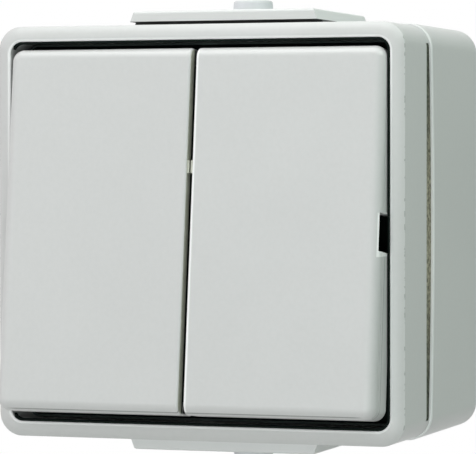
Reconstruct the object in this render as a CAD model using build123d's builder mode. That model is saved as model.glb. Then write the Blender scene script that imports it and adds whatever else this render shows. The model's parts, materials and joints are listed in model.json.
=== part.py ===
from build123d import *
import os
from math import cos, radians, sin

# Surface-mounted two-gang rocker light switch, splash-proof, in millimetres.
# The wall lies on the plane Y = 0 and the front faces -Y. A depth is the distance from the wall,
# which is the offset of Plane.XZ. Both rockers rest with their lower ends out.

# Case: the box on the wall and the cover that closes it
case_width = 68.6
case_height = 66.6
case_corner = 4.1
front_depth = 44.0
cover_depth = 15.5
cover_inset = 0.3
seam_gap = 0.1
back_wall = 2.2
box_wall = 2.2
post_radius = 3.5
post_inset = 4.1

# Seam: a slot in both sides of the cover over a thin lip of the box that dips, with the gasket between
slot_height = 2.0
slot_wall = 1.6
slot_inset = 3.0
lip_wall = 0.5
lip_round = 0.25
rim_dip = 1.25
rim_dip_ease = 25.0
gasket_height = 3.5
gasket_width = 1.0
gasket_clearance = 0.05
strip_clearance = 0.1

# Wall-fixing slots
wall_slot_width = 4.4
wall_slot_length = 8.0
wall_slot_inset = 3.6

# Marks in the back: a knock-out for a rear cable and the mould's ejector pins
knockout_radius = 8.0
knockout_width = 0.8
knockout_groove = 0.8
pin_mark_radius = 2.5
pin_mark_depth = 0.2
pin_mark_side = 17.0
pin_mark_rise = 15.0

# Cover: crowned bezel, rocker opening, floor and the rib that centres it in the box
bezel_side = 2.25
bezel_end = 2.5
crown_radius = 3.2
crown_trim = 0.94
opening_corner = 2.0
edge_reach = 0.01
opening_round = 0.4
opening_depth = 9.0
floor_thickness = 1.6
rib_length = 3.5
rib_thickness = 1.4
rib_clearance = 0.2
window_clearance = 0.4

# Splash seal on the cover's floor
seal_thickness = 1.0
seal_clearance = 0.2
bead_width = 0.35
bead_height = 1.0

# Cable entries: a pad outside the wall, a neck in a notch of the wall and a flange inside
entry_rear = 2.5
entry_overhang = 2.5
entry_width = 32.6
entry_height = 2.55
entry_slope = 70.0
entry_round = 0.5
entry_undercut = 0.75
neck_width = 26.0
neck_rear = 6.5
neck_clearance = 0.05
flange_width = 30.0
flange_thickness = 1.5
ring_radius = 7.0
ring_height = 0.35
nipple_depth = 15.5
nipple_radius = 3.45
nipple_height = 2.15
nipple_taper = 7.0
nipple_round = 0.4
nipple_bore = 2.2
membrane = 0.8

# Rockers
rocker_tilt = 6.6
pivot_drop = 1.0
face_height = 5.25
side_gap = 0.45
centre_gap = 0.9
end_gap = 1.55
outer_corner = 1.9
edge_round = 1.7
inner_round = 0.4
plate_thickness = 1.8
skirt_wall = 1.4
skirt_corner = 0.8
skirt_clearance = 1.0
inner_skirt = 2.45
pry_height = 6.0
pry_cap = 0.85
parting_drop = 2.4
parting_height = 0.25
parting_depth = 0.2
spacer_rise = 10.0
spacer_height = 2.0
spacer_reach = 0.3
rib_places = 20.0
rib_width = 1.0
rib_drop = 1.2

# Axle and toggles
axle_radius = 1.0
axle_fit = 0.03
axle_overhang = 0.3
axle_chamfer = 0.2
hub_radius = 2.4
hub_fit = 0.06
toggle_end_gap = 0.3
saddle_length = 16.0
saddle_width = 16.0
saddle_thickness = 2.0
hook_wall = 1.2
hook_barb = 0.5
hook_width = 10.0
hook_clearance = 0.1
hook_depth = 1.2
stem_radius = 2.75
stem_length = 16.0
bore_radius = 1.7
bore_top = 4.2

# Plungers and their springs
plunger_clearance = 0.1
plunger_reach = 2.5
plunger_shoulder = 10.0
spring_pin_radius = 0.7
spring_pin_length = 1.4
spring_wire = 0.22
spring_radius = 1.3
spring_turns = 4

# Socket: block behind the plate, collar through the plate and ears for the axle
base_inset = 0.4
base_clearance = 0.5
base_floor = 7.1
base_corner = 2.0
collar_margin = 5.35
collar_wall = 1.6
collar_corner = 1.0
collar_rise = 0.6
chamber_width = 16.0
ear_thickness = 2.0
ear_radius = 1.6
ear_foot = 8.0
stake_radius = 1.5
stake_head_radius = 2.2
stake_head_height = 0.8
stake_inset = 4.0

# Support plate
plate_gap = 1.2
steel_thickness = 1.2
steel_corner = 3.0
plate_clearance = 0.2
access_radius = 3.2

# See-saw contacts, their pin and the fixed contacts
contact_ratio = 1.5
contact_slack = 0.1
seesaw_thickness = 1.2
seesaw_rise = 1.9
seesaw_clearance = 1.1
seesaw_width = 5.0
seesaw_hub = 1.8
pin_radius = 0.8
pin_fit = 0.05
pin_overrun = 1.5
button_radius = 1.5
button_height = 0.6
fixed_button_height = 1.0
button_gap = 0.05
strip_thickness = 0.8
strip_width = 5.0
strip_clearance = 0.1
strip_margin = 3.0
eye_wall = 0.8
terminal_inset = 3.5
terminal_width = 8.0
terminal_wall = 2.6
terminal_bay = 6.3

# Screws
screw_radius = 1.5
screw_fit = 0.03
screw_hole = 1.8
head_radius = 2.8
head_height = 2.0
head_round = 0.7
recess_width = 0.9
recess_length = 3.4
recess_depth = 1.1
plate_screw_length = 12.0
cover_screw_length = 14.0
terminal_screw_length = 5.0
terminal_head_radius = 2.5

# Places and sizes that follow from the dimensions above
half_height = case_height / 2
inner_width = case_width - 2 * box_wall
inner_height = case_height - 2 * box_wall
inner_half_height = inner_height / 2
inner_corner_radius = case_corner - box_wall
wall_slot_spacing = inner_height - wall_slot_length - 2 * wall_slot_inset
post_side = inner_width / 2 - post_radius - post_inset
post_rise = inner_half_height - post_radius - post_inset
seam_depth = front_depth - cover_depth
rim_depth = seam_depth - seam_gap
gasket_seat = seam_depth - gasket_height
lip_width = case_width - 2 * lip_wall
lip_height = case_height - 2 * lip_wall
lip_corner = case_corner - lip_wall
cover_width = case_width - 2 * cover_inset
cover_height = case_height - 2 * cover_inset
cover_corner = case_corner - cover_inset
slot_length = cover_height - 2 * slot_inset
opening_width = cover_width - 2 * bezel_side
opening_height = cover_height - 2 * bezel_end
floor_depth = front_depth - opening_depth
floor_rear = floor_depth - floor_thickness
rib_depth = seam_depth - rib_length
rib_outer_width = inner_width - 2 * rib_clearance
rib_outer_height = inner_height - 2 * rib_clearance
seal_depth = floor_depth + seal_thickness
bead_depth = seal_depth + bead_height
entry_front = seam_depth + entry_overhang
entry_top = half_height + entry_height
plate_front = floor_rear - plate_gap
plate_depth = plate_front - steel_thickness
steel_width = rib_outer_width - 2 * (rib_thickness + plate_clearance)
steel_height = rib_outer_height - 2 * (rib_thickness + plate_clearance)
pivot_depth = front_depth - pivot_drop
rocker_width = (opening_width - 2 * side_gap - centre_gap) / 2
rocker_height = opening_height - 2 * end_gap
rocker_x = (centre_gap + rocker_width) / 2
outer_edge = centre_gap / 2 + rocker_width
face_end = rocker_height / 2
plate_under = face_height - plate_thickness
rocker_lean = radians(rocker_tilt)
foot_reach = bead_depth + skirt_clearance + face_end * sin(rocker_lean) - pivot_depth
skirt_foot = foot_reach / cos(rocker_lean)
outer_skirt = face_height - skirt_foot
collar_width = opening_width - 2 * collar_margin
collar_depth = floor_depth + collar_rise
base_width = collar_width - 2 * base_inset
base_height = 2 * (post_rise - post_radius - base_clearance)
chamber_height = base_height - 2 * (terminal_wall + terminal_bay)
collar_height = chamber_height + 2 * collar_wall
stake_side = base_width / 2 - stake_inset
stake_rise = base_height / 2 - stake_inset
middle_ear_thickness = centre_gap + 2 * skirt_wall
toggle_inner = middle_ear_thickness / 2 + toggle_end_gap
toggle_outer = collar_width / 2 - ear_thickness - toggle_end_gap
toggle_x = (toggle_inner + toggle_outer) / 2
hub_length = toggle_outer - toggle_inner
bore_depth = stem_length - bore_top
plunger_radius = bore_radius - plunger_clearance
plunger_tip = stem_length + plunger_reach
spring_height = plunger_shoulder - bore_top
contact_tilt = rocker_tilt * contact_ratio
contact_lean = radians(contact_tilt)
contact_depth = pivot_depth - plunger_tip - contact_slack - seesaw_rise
seesaw_arm = chamber_height / 2 - seesaw_clearance
seesaw_under = seesaw_rise - seesaw_thickness
button_place = seesaw_arm - button_radius
button_rise = button_place * cos(contact_lean)
button_face = (seesaw_under - button_height) * cos(contact_lean) - button_place * sin(contact_lean)
fixed_top = contact_depth + button_face - button_radius * sin(contact_lean) - button_gap
strip_top = fixed_top - fixed_button_height
chamber_floor = strip_top - strip_thickness
base_depth = chamber_floor - base_floor
terminal_place = base_height / 2 - terminal_inset
strip_end = terminal_place + strip_margin
pin_length = 2 * (toggle_x + chamber_width / 2 + pin_overrun)
plate_screw_places = [(-post_side, -post_rise), (post_side, post_rise)]
cover_screw_places = [(-post_side, post_rise), (post_side, -post_rise)]
post_places = plate_screw_places + cover_screw_places
terminal_places = [(0, terminal_place), (-toggle_x, -terminal_place), (toggle_x, -terminal_place)]
stake_places = [(stake_side * across, stake_rise * up) for across in (-1, 1) for up in (-1, 1)]


def leaning_plane(depth, angle):
    """Plane at a depth on the middle line that faces the front, leaning up by an angle."""
    turn = radians(angle)
    return Plane(origin=(0, -depth, 0), x_dir=(1, 0, 0), z_dir=(0, -cos(turn), sin(turn)))


def side_plane(plane, across):
    """Plane seen from the side at X = across: its x runs up the given plane, its y out of it."""
    return Plane(origin=plane.origin + (across, 0, 0), x_dir=plane.y_dir, z_dir=plane.x_dir)


rocker_plane = leaning_plane(pivot_depth, rocker_tilt)
rocker_side = side_plane(rocker_plane, toggle_x)
out_of_face = Axis(rocker_plane.origin, rocker_plane.z_dir)
contact_plane = leaning_plane(contact_depth, -contact_tilt)
contact_side = side_plane(contact_plane, toggle_x)

os.makedirs("parts", exist_ok=True)


# Back box
with BuildPart() as back_box:
    with BuildSketch(Plane.XZ):
        RectangleRounded(case_width, case_height, case_corner)
    extrude(amount=seam_depth)
    # The rim is trimmed level at its ends and dips along both sides
    with BuildSketch(Plane.YZ) as rim_profile:
        dip_end = half_height - case_corner
        with BuildLine():
            Polyline(
                (-rim_depth, dip_end),
                (-rim_depth, case_height),
                (-front_depth, case_height),
                (-front_depth, -case_height),
                (-rim_depth, -case_height),
                (-rim_depth, -dip_end),
            )
            ThreePointArc((-rim_depth, -dip_end), (rim_dip - rim_depth, 0), (-rim_depth, dip_end))
        make_face()
        dip_corners = rim_profile.vertices().filter_by_position(Axis.Y, -half_height, half_height)
        fillet(dip_corners, rim_dip_ease)
    extrude(amount=case_width, both=True, mode=Mode.SUBTRACT)
    rim_faces = back_box.faces().filter_by(lambda face: face.normal_at().Y < -0.5)
    rim_edges = rim_faces.edges().filter_by(
        lambda edge: abs((edge @ 0.5).X) > inner_width / 2 or abs((edge @ 0.5).Z) > inner_height / 2
    )
    fillet(rim_edges, lip_round)
    with BuildSketch(Plane.XZ.offset(back_wall)):
        RectangleRounded(inner_width, inner_height, inner_corner_radius)
    extrude(amount=seam_depth, mode=Mode.SUBTRACT)
    # Seat of the gasket behind the lip
    with BuildSketch(Plane.XZ.offset(gasket_seat)):
        RectangleRounded(lip_width, lip_height, lip_corner)
    extrude(amount=seam_depth, mode=Mode.SUBTRACT)
    # Screw posts
    with BuildSketch(Plane.XZ):
        with Locations(*post_places):
            Circle(post_radius)
    extrude(amount=plate_depth)
    with BuildSketch(Plane.XZ.offset(back_wall)):
        with Locations(*post_places):
            Circle(screw_radius + screw_fit)
    extrude(amount=plate_depth, mode=Mode.SUBTRACT)
    # Notches that the cable entries slide into
    with BuildSketch(Plane.XZ.offset(neck_rear)):
        with GridLocations(0, inner_height + box_wall, 1, 2):
            Rectangle(neck_width + 2 * neck_clearance, 2 * box_wall)
    extrude(amount=seam_depth, mode=Mode.SUBTRACT)
    # Wall-fixing slots
    with BuildSketch(Plane.XZ):
        with GridLocations(0, wall_slot_spacing, 1, 2):
            SlotOverall(wall_slot_length, wall_slot_width, rotation=90)
    extrude(amount=back_wall, mode=Mode.SUBTRACT)
    # Knock-out and ejector marks in the back
    with BuildSketch(Plane.XZ):
        Circle(knockout_radius)
        Circle(knockout_radius - knockout_width, mode=Mode.SUBTRACT)
    extrude(amount=knockout_groove, mode=Mode.SUBTRACT)
    with BuildSketch(Plane.XZ):
        with GridLocations(2 * pin_mark_side, 2 * pin_mark_rise, 2, 2):
            Circle(pin_mark_radius)
    extrude(amount=pin_mark_depth, mode=Mode.SUBTRACT)

# Cover gasket
with BuildPart() as cover_gasket:
    gasket_outer_width = lip_width - 2 * gasket_clearance
    gasket_outer_height = lip_height - 2 * gasket_clearance
    gasket_corner = lip_corner - gasket_clearance
    with BuildSketch(Plane.XZ.offset(gasket_seat)):
        RectangleRounded(gasket_outer_width, gasket_outer_height, gasket_corner)
        RectangleRounded(
            gasket_outer_width - 2 * gasket_width,
            gasket_outer_height - 2 * gasket_width,
            gasket_corner - gasket_width,
            mode=Mode.SUBTRACT,
        )
    extrude(amount=gasket_height)
    # Strips that fill the slots of the cover
    with BuildSketch(Plane.XZ.offset(seam_depth)):
        with GridLocations(gasket_outer_width - gasket_width, 0, 2, 1):
            Rectangle(gasket_width, slot_length - 2 * strip_clearance)
    extrude(amount=slot_height)

# Front cover
with BuildPart() as front_cover:
    # The crown is rounded on a larger block and trimmed, so it meets the sides in a crisp line
    with BuildSketch(Plane.XZ.offset(seam_depth)):
        RectangleRounded(
            cover_width + 2 * crown_trim,
            cover_height + 2 * crown_trim,
            cover_corner + crown_trim,
        )
    extrude(amount=front_depth - seam_depth)
    fillet(front_cover.faces().sort_by(Axis.Y)[0].edges(), crown_radius)
    with BuildSketch(Plane.XZ.offset(seam_depth)):
        RectangleRounded(cover_width, cover_height, cover_corner)
    extrude(amount=front_depth - seam_depth, mode=Mode.INTERSECT)
    # Rocker opening down to the floor
    with BuildSketch(Plane.XZ.offset(floor_depth)):
        RectangleRounded(opening_width, opening_height, opening_corner)
    extrude(amount=front_depth - floor_depth, mode=Mode.SUBTRACT)
    opening_edges = front_cover.edges().filter_by(
        lambda edge: (edge @ 0.5).Y < -floor_depth
        and abs((edge @ 0.5).X) < opening_width / 2 + edge_reach
        and abs((edge @ 0.5).Z) < opening_height / 2 + edge_reach
    )
    fillet(opening_edges.filter_by(Axis.Y, reverse=True), opening_round)
    # Rib that centres the cover in the box, and the hollow behind the floor
    with BuildSketch(Plane.XZ.offset(rib_depth)):
        RectangleRounded(rib_outer_width, rib_outer_height, inner_corner_radius)
    extrude(amount=rib_length)
    with BuildSketch(Plane.XZ.offset(rib_depth)):
        RectangleRounded(
            rib_outer_width - 2 * rib_thickness,
            rib_outer_height - 2 * rib_thickness,
            inner_corner_radius,
        )
    extrude(amount=floor_rear - rib_depth, mode=Mode.SUBTRACT)
    # Slots in both sides, over the dips of the box's rim
    with BuildSketch(Plane.XZ.offset(seam_depth)):
        with GridLocations(cover_width - slot_wall, 0, 2, 1):
            Rectangle(slot_wall, slot_length)
    extrude(amount=slot_height, mode=Mode.SUBTRACT)
    # The rib stands clear of the cable entries' flanges
    with BuildSketch(Plane.XZ.offset(rib_depth)):
        with GridLocations(0, rib_outer_height - rib_thickness, 1, 2):
            Rectangle(flange_width + 2 * rib_clearance, 2 * rib_thickness)
    extrude(amount=rib_length, mode=Mode.SUBTRACT)
    # Window for the socket's collar, holes for the cover screws and room for the plate screws' heads
    with BuildSketch(Plane.XZ.offset(floor_rear)):
        RectangleRounded(
            collar_width + 2 * window_clearance,
            collar_height + 2 * window_clearance,
            collar_corner + window_clearance,
        )
        with Locations(*cover_screw_places):
            Circle(screw_hole)
        with Locations(*plate_screw_places):
            Circle(head_radius + plate_clearance)
    extrude(amount=floor_thickness, mode=Mode.SUBTRACT)

# Splash seal
with BuildPart() as splash_seal:
    seal_width = opening_width - 2 * seal_clearance
    seal_height = opening_height - 2 * seal_clearance
    seal_corner = opening_corner - seal_clearance
    with BuildSketch(Plane.XZ.offset(floor_depth)):
        RectangleRounded(seal_width, seal_height, seal_corner)
        RectangleRounded(
            collar_width + 2 * gasket_clearance,
            collar_height + 2 * gasket_clearance,
            collar_corner + gasket_clearance,
            mode=Mode.SUBTRACT,
        )
        with Locations(*cover_screw_places):
            Circle(head_radius + seal_clearance, mode=Mode.SUBTRACT)
    extrude(amount=seal_thickness)
    # Upright bead along the edge
    with BuildSketch(Plane.XZ.offset(seal_depth)):
        RectangleRounded(seal_width, seal_height, seal_corner)
        RectangleRounded(
            seal_width - 2 * bead_width,
            seal_height - 2 * bead_width,
            seal_corner - bead_width,
            mode=Mode.SUBTRACT,
        )
    extrude(amount=bead_height)

# Cable entries
with BuildPart() as cable_entry_top:
    # Pad with sloping ends on the outside of the box
    with BuildSketch(Plane.XZ.offset(entry_rear)):
        with Locations((0, half_height)):
            Trapezoid(entry_width, entry_height, entry_slope, align=(Align.CENTER, Align.MIN))
    extrude(amount=entry_front - entry_rear)
    fillet(cable_entry_top.faces().sort_by(Axis.Z)[-1].edges(), entry_round)
    # Shadow gap between the pad and the cover
    with BuildSketch(Plane.XZ.offset(rim_depth)):
        with Locations((0, half_height)):
            Rectangle(entry_width, 2 * entry_undercut)
    extrude(amount=entry_front - rim_depth, mode=Mode.SUBTRACT)
    # Neck in the notch, with a lip beside the gasket
    with BuildSketch(Plane.XZ.offset(neck_rear)):
        with Locations((0, half_height)):
            Rectangle(neck_width, box_wall, align=(Align.CENTER, Align.MAX))
    extrude(amount=gasket_seat - neck_rear)
    with BuildSketch(Plane.XZ.offset(gasket_seat)):
        with Locations((0, half_height)):
            Rectangle(neck_width, lip_wall, align=(Align.CENTER, Align.MAX))
    extrude(amount=rim_depth - gasket_seat)
    # Flange on the inside of the wall
    with BuildSketch(Plane.XZ.offset(entry_rear)):
        with Locations((0, inner_half_height)):
            Rectangle(flange_width, flange_thickness, align=(Align.CENTER, Align.MAX))
    extrude(amount=gasket_seat - entry_rear)
    # Stepped nipple, closed by a membrane that is cut open for a cable
    with BuildSketch(Plane.XY.offset(entry_top)):
        with Locations((0, -nipple_depth)):
            Circle(ring_radius)
    extrude(amount=ring_height)
    with BuildSketch(Plane.XY.offset(entry_top)):
        with Locations((0, -nipple_depth)):
            Circle(nipple_radius)
    extrude(amount=nipple_height, taper=nipple_taper)
    fillet(cable_entry_top.faces().sort_by(Axis.Z)[-1].edges(), nipple_round)
    bore_start = inner_half_height - flange_thickness
    with BuildSketch(Plane.XY.offset(bore_start)):
        with Locations((0, -nipple_depth)):
            Circle(nipple_bore)
    extrude(amount=entry_top + nipple_height - membrane - bore_start, mode=Mode.SUBTRACT)

with BuildPart() as cable_entry_bottom:
    mirror(cable_entry_top.part, about=Plane.XY)

# Rockers
with BuildPart() as rocker_right:
    # The block reaches past the middle gap, so that only the outer edges get the soft round
    with BuildSketch(rocker_plane.offset(skirt_foot)) as rocker_outline:
        with Locations((outer_edge, 0)):
            Rectangle(rocker_width + centre_gap, rocker_height, align=(Align.MAX, Align.CENTER))
        fillet(rocker_outline.vertices().group_by(Axis.X)[-1], outer_corner)
    extrude(amount=outer_skirt)
    face_edges = rocker_right.faces().sort_by(out_of_face)[-1].edges()
    fillet(face_edges.sort_by(Axis.X)[1:], edge_round)
    # The middle gap is cut straight and its edge hardly rounded
    with BuildSketch(rocker_plane.offset(skirt_foot)):
        with Locations((centre_gap / 2, 0)):
            Rectangle(2 * centre_gap, case_height, align=(Align.MAX, Align.CENTER))
    extrude(amount=2 * outer_skirt, mode=Mode.SUBTRACT)
    inner_edges = rocker_right.faces().sort_by(Axis.X)[0].edges()
    fillet(inner_edges.sort_by(out_of_face)[1:], inner_round)
    # Fine groove along the walls where the two halves of the mould met
    with BuildSketch(rocker_plane.offset(face_height - parting_drop)):
        with Locations((rocker_x, 0)):
            Rectangle(case_width, case_height)
            RectangleRounded(
                rocker_width - 2 * parting_depth,
                rocker_height - 2 * parting_depth,
                outer_corner - parting_depth,
                mode=Mode.SUBTRACT,
            )
    extrude(amount=-parting_height, mode=Mode.SUBTRACT)
    # Hollow back, with a short skirt along the middle gap
    with BuildSketch(rocker_plane.offset(skirt_foot)):
        with Locations((rocker_x, 0)):
            RectangleRounded(rocker_width - 2 * skirt_wall, rocker_height - 2 * skirt_wall, skirt_corner)
    extrude(amount=plate_under - skirt_foot, mode=Mode.SUBTRACT)
    with BuildSketch(rocker_plane.offset(skirt_foot)):
        with Locations((centre_gap / 2, 0)):
            Rectangle(2 * skirt_wall, rocker_height - 2 * skirt_wall)
    extrude(amount=outer_skirt - inner_skirt, mode=Mode.SUBTRACT)
    # Pry window in the outer wall, under the edge of the face
    with BuildSketch(rocker_plane.offset(skirt_foot)):
        with Locations((outer_edge, 0)):
            Rectangle(2 * skirt_wall, pry_height)
    extrude(amount=outer_skirt - pry_cap, mode=Mode.SUBTRACT)
    # Spacer nub towards the other rocker
    with BuildSketch(rocker_plane.offset(face_height - inner_skirt)):
        with Locations((centre_gap / 2 + skirt_wall / 2, spacer_rise)):
            Rectangle(skirt_wall + 2 * spacer_reach, spacer_height)
    extrude(amount=inner_skirt - inner_round)
    # Stiffening ribs across the back
    with BuildSketch(rocker_plane.offset(plate_under)):
        with Locations((rocker_x, 0)):
            with GridLocations(0, 2 * rib_places, 1, 2):
                Rectangle(rocker_width - 2 * skirt_wall, rib_width)
    extrude(amount=-rib_drop)
    # Snap hooks that grip the toggle's saddle
    with BuildSketch(rocker_side):
        hook_inside = saddle_length / 2 + hook_clearance
        hook_catch = plate_under - saddle_thickness - hook_clearance
        with BuildLine():
            Polyline(
                (hook_inside, plate_under),
                (hook_inside + hook_wall, plate_under),
                (hook_inside + hook_wall, hook_catch - hook_depth),
                (hook_inside, hook_catch - hook_depth),
                (hook_inside - hook_barb, hook_catch),
                (hook_inside, hook_catch),
                close=True,
            )
        make_face()
        mirror(about=Plane.YZ)
    extrude(amount=hook_width / 2, both=True)

with BuildPart() as rocker_left:
    mirror(rocker_right.part, about=Plane.YZ)

# Axle
with BuildPart() as axle:
    with BuildSketch(Plane.YZ):
        with Locations((-pivot_depth, 0)):
            Circle(axle_radius)
    extrude(amount=collar_width / 2 + axle_overhang, both=True)
    chamfer(axle.edges().filter_by(GeomType.CIRCLE), axle_chamfer)

# Toggles
with BuildPart() as toggle_right:
    # Hub on the axle and the saddle that the rocker snaps onto
    with BuildSketch(rocker_side):
        Circle(hub_radius)
    extrude(amount=hub_length / 2, both=True)
    with BuildSketch(rocker_side):
        with Locations((0, plate_under)):
            Rectangle(saddle_length, saddle_thickness, align=(Align.CENTER, Align.MAX))
    extrude(amount=saddle_width / 2, both=True)
    # Stem with the bore of the plunger
    with BuildSketch(rocker_plane):
        with Locations((toggle_x, 0)):
            Circle(stem_radius)
    extrude(amount=-stem_length)
    with BuildSketch(rocker_plane.offset(-stem_length)):
        with Locations((toggle_x, 0)):
            Circle(bore_radius)
    extrude(amount=bore_depth, mode=Mode.SUBTRACT)
    with BuildSketch(rocker_side):
        Circle(axle_radius + hub_fit)
    extrude(amount=hub_length, both=True, mode=Mode.SUBTRACT)

with BuildPart() as toggle_left:
    mirror(toggle_right.part, about=Plane.YZ)

# Plungers: a round-nosed pin with a spigot inside its spring
with BuildPart() as plunger_right:
    with BuildSketch(rocker_side):
        with BuildLine():
            nose = plunger_radius - plunger_tip
            Line((0, -plunger_tip), (0, spring_pin_length - plunger_shoulder))
            Polyline(
                (0, spring_pin_length - plunger_shoulder),
                (spring_pin_radius, spring_pin_length - plunger_shoulder),
                (spring_pin_radius, -plunger_shoulder),
                (plunger_radius, -plunger_shoulder),
                (plunger_radius, nose),
            )
            RadiusArc((plunger_radius, nose), (0, -plunger_tip), plunger_radius)
        make_face()
    revolve(axis=Axis(rocker_side.origin, rocker_plane.z_dir))

with BuildPart() as plunger_left:
    mirror(plunger_right.part, about=Plane.YZ)

# Plunger springs
with BuildPart() as plunger_spring_right:
    coil_height = spring_height - 2 * spring_wire
    coil_foot = rocker_plane.offset(spring_wire - plunger_shoulder)
    coil_centre = coil_foot.from_local_coords((toggle_x, 0, 0))
    with BuildLine() as coil:
        Helix(coil_height / spring_turns, coil_height, spring_radius, coil_centre, rocker_plane.z_dir)
    with BuildSketch(Plane(origin=coil.line @ 0, z_dir=coil.line % 0)):
        Circle(spring_wire)
    sweep(is_frenet=True)

with BuildPart() as plunger_spring_left:
    mirror(plunger_spring_right.part, about=Plane.YZ)

# Socket
with BuildPart() as switch_base:
    with BuildSketch(Plane.XZ.offset(base_depth)):
        RectangleRounded(base_width, base_height, base_corner)
    extrude(amount=plate_depth - base_depth)
    with BuildSketch(Plane.XZ.offset(plate_depth)):
        RectangleRounded(collar_width, collar_height, collar_corner)
    extrude(amount=collar_depth - plate_depth)
    # Ears that carry the axle: one at each end and one in the middle
    end_ear = (collar_width - ear_thickness) / 2
    ears = {-end_ear: ear_thickness, 0: middle_ear_thickness, end_ear: ear_thickness}
    for across, thickness in ears.items():
        with BuildSketch(Plane.YZ.offset(across)):
            with BuildLine():
                Polyline(
                    (-collar_depth, -ear_foot / 2),
                    (-collar_depth, ear_foot / 2),
                    (-pivot_depth, ear_radius),
                    (-pivot_depth, -ear_radius),
                    close=True,
                )
            make_face()
            with Locations((-pivot_depth, 0)):
                Circle(ear_radius)
        extrude(amount=thickness / 2, both=True)
    with BuildSketch(Plane.YZ):
        with Locations((-pivot_depth, 0)):
            Circle(axle_radius + axle_fit)
    extrude(amount=collar_width, both=True, mode=Mode.SUBTRACT)
    # Contact chambers, open to the front
    with BuildSketch(Plane.XZ.offset(chamber_floor)):
        with GridLocations(2 * toggle_x, 0, 2, 1):
            Rectangle(chamber_width, chamber_height)
    extrude(amount=collar_depth - chamber_floor, mode=Mode.SUBTRACT)
    # Bore for the pin of the see-saw contacts
    with BuildSketch(Plane.YZ):
        with Locations((-contact_depth, 0)):
            Circle(pin_radius + pin_fit)
    extrude(amount=pin_length / 2, both=True, mode=Mode.SUBTRACT)
    # Slot for the common contact, open to the back
    eye_radius = pin_radius + eye_wall
    with BuildSketch(Plane.XZ.offset(base_depth)):
        with Locations((0, -eye_radius - strip_clearance)):
            Rectangle(
                strip_width + 2 * strip_clearance,
                terminal_place + eye_radius,
                align=(Align.CENTER, Align.MIN),
            )
    extrude(amount=contact_depth + eye_radius + strip_clearance - base_depth, mode=Mode.SUBTRACT)
    # Terminal bays, open to the front and to the side that the wires come from
    bay_start = chamber_height / 2 + terminal_wall
    bay_wall = chamber_height / 2 + terminal_wall / 2
    with BuildSketch(Plane.XZ.offset(chamber_floor)):
        with Locations((0, bay_start)):
            Rectangle(terminal_width, base_height, align=(Align.CENTER, Align.MIN))
        with Locations((-toggle_x, -bay_start), (toggle_x, -bay_start)):
            Rectangle(terminal_width, base_height, align=(Align.CENTER, Align.MAX))
    extrude(amount=plate_depth - chamber_floor, mode=Mode.SUBTRACT)
    # Slots for the fixed contacts between chamber and bay, and the holes of the terminal screws
    with BuildSketch(Plane.XZ.offset(chamber_floor)):
        with Locations((-toggle_x, -bay_wall), (toggle_x, -bay_wall)):
            Rectangle(strip_width + 2 * strip_clearance, 2 * terminal_wall)
    extrude(amount=strip_thickness + strip_clearance, mode=Mode.SUBTRACT)
    with BuildSketch(Plane.XZ.offset(chamber_floor)):
        with Locations(*terminal_places):
            Circle(screw_radius + screw_fit)
    extrude(amount=-terminal_screw_length, mode=Mode.SUBTRACT)
    # Stakes that hold the plate
    with BuildSketch(Plane.XZ.offset(plate_depth)):
        with Locations(*stake_places):
            Circle(stake_radius)
    extrude(amount=steel_thickness)
    with BuildSketch(Plane.XZ.offset(plate_front)):
        with Locations(*stake_places):
            Circle(stake_head_radius)
    extrude(amount=stake_head_height)

# Support plate
with BuildPart() as support_plate:
    with BuildSketch(Plane.XZ.offset(plate_depth)):
        RectangleRounded(steel_width, steel_height, steel_corner)
        RectangleRounded(
            collar_width + 2 * plate_clearance,
            collar_height + 2 * plate_clearance,
            collar_corner + plate_clearance,
            mode=Mode.SUBTRACT,
        )
        with Locations(*post_places):
            Circle(screw_hole, mode=Mode.SUBTRACT)
        with Locations(*stake_places):
            Circle(stake_radius + gasket_clearance, mode=Mode.SUBTRACT)
        with Locations(*terminal_places):
            Circle(access_radius, mode=Mode.SUBTRACT)
    extrude(amount=steel_thickness)

# See-saw contacts
with BuildPart() as contact_rocker_right:
    with BuildSketch(contact_side):
        Circle(seesaw_hub)
        with Locations((0, seesaw_rise)):
            Rectangle(2 * seesaw_arm, seesaw_thickness, align=(Align.CENTER, Align.MAX))
        Rectangle(2 * seesaw_hub, seesaw_hub, align=(Align.CENTER, Align.MAX), mode=Mode.SUBTRACT)
        Circle(pin_radius + pin_fit, mode=Mode.SUBTRACT)
    extrude(amount=seesaw_width / 2, both=True)
    with BuildSketch(contact_plane.offset(seesaw_under)):
        with Locations((toggle_x, -button_place)):
            Circle(button_radius)
    extrude(amount=-button_height)

with BuildPart() as contact_rocker_left:
    mirror(contact_rocker_right.part, about=Plane.YZ)

# Pin that both see-saws turn on
with BuildPart() as contact_pin:
    with BuildSketch(Plane.YZ):
        with Locations((-contact_depth, 0)):
            Circle(pin_radius)
    extrude(amount=pin_length / 2, both=True)

# Common contact: an eye on the pin, a leg and a strip to its terminal
with BuildPart() as common_contact:
    with BuildSketch(Plane.YZ):
        with Locations((-contact_depth, 0)):
            Circle(eye_radius)
        with Locations((-chamber_floor, 0)):
            Rectangle(contact_depth - chamber_floor, 2 * eye_radius, align=(Align.MAX, Align.CENTER))
        with Locations((-chamber_floor, -eye_radius)):
            Rectangle(
                strip_thickness,
                strip_end + eye_radius,
                align=(Align.MAX, Align.MIN),
            )
        with Locations((-contact_depth, 0)):
            Circle(pin_radius + pin_fit, mode=Mode.SUBTRACT)
    extrude(amount=strip_width / 2, both=True)
    with BuildSketch(Plane.XZ.offset(chamber_floor)):
        with Locations((0, terminal_place)):
            Circle(screw_radius + screw_fit)
    extrude(amount=strip_thickness, mode=Mode.SUBTRACT)

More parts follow.
